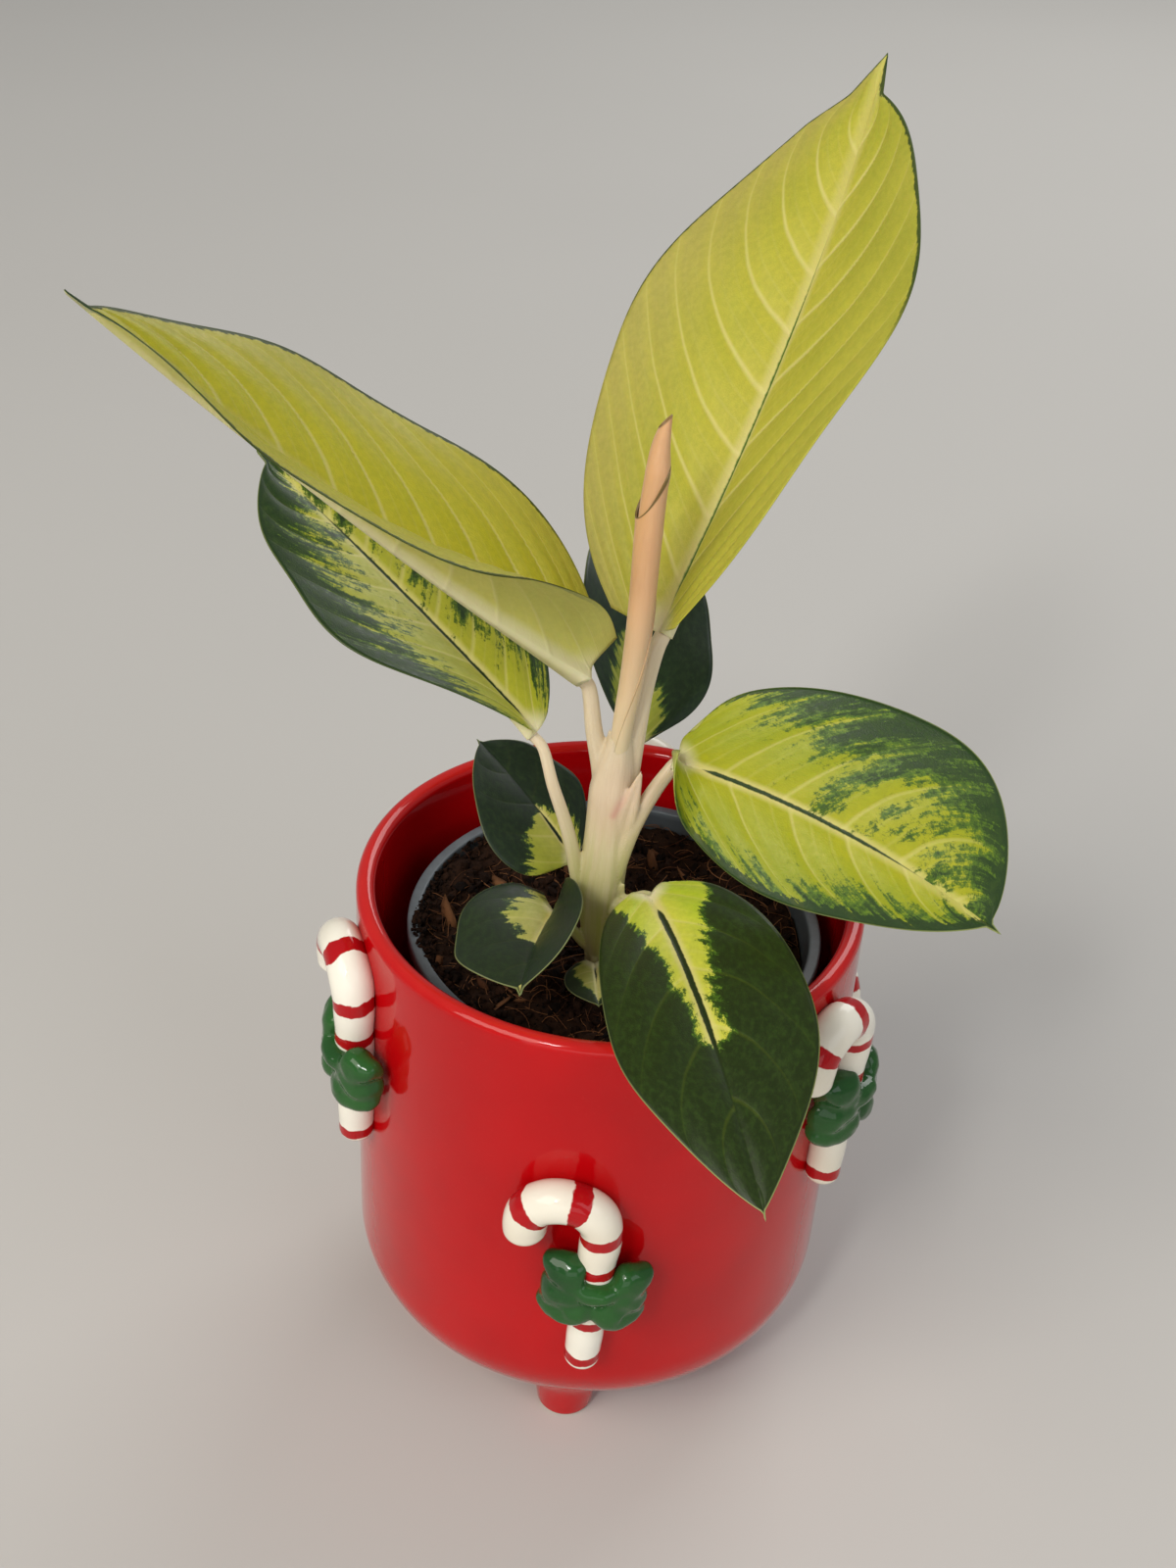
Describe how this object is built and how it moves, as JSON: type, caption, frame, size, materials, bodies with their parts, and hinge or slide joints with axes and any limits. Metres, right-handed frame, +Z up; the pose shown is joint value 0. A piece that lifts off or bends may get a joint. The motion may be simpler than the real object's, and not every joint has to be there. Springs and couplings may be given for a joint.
{
  "type": "potted aglaonema",
  "caption": "Young variegated aglaonema in a nursery pot, standing in a glazed red planter on feet with candy canes and bows on its wall.",
  "frame": {"origin": "middle of the underside of the whole object's bounding box, on the surface that the feet stand on", "axes": "+Z up, +Y away from the viewer of the picture, +X to the viewer's right"},
  "size_m": [0.2196, 0.238, 0.3632],
  "materials": {
    "red_glaze": "gloss",
    "white_glaze": "gloss",
    "green_glaze": "gloss",
    "grey_plastic": "satin",
    "soil": "matte",
    "petiole": "satin",
    "new_leaf": "satin",
    "yellow_blade": "satin",
    "green_blade": "satin"
  },
  "bodies": {
    "root": {"planter": "red_glaze", "candy_cane_front": "white_glaze", "bow_front": "green_glaze", "candy_cane_front_right": "white_glaze", "bow_front_right": "green_glaze", "candy_cane_back_right": "white_glaze", "bow_back_right": "green_glaze", "candy_cane_back": "white_glaze", "bow_back": "green_glaze", "candy_cane_back_left": "white_glaze", "bow_back_left": "green_glaze", "candy_cane_front_left": "white_glaze", "bow_front_left": "green_glaze", "nursery_pot": "grey_plastic", "soil": "soil", "stem": "petiole", "new_leaf_spear": "new_leaf", "leaf_top_right": "yellow_blade", "leaf_top_left": "yellow_blade", "leaf_middle_left": "yellow_blade", "leaf_middle_right": "yellow_blade", "leaf_front": "green_blade", "leaf_back": "green_blade", "leaf_small_left": "green_blade", "leaf_small_front": "green_blade", "leaf_lowest": "green_blade"}
  },
  "joints": []
}
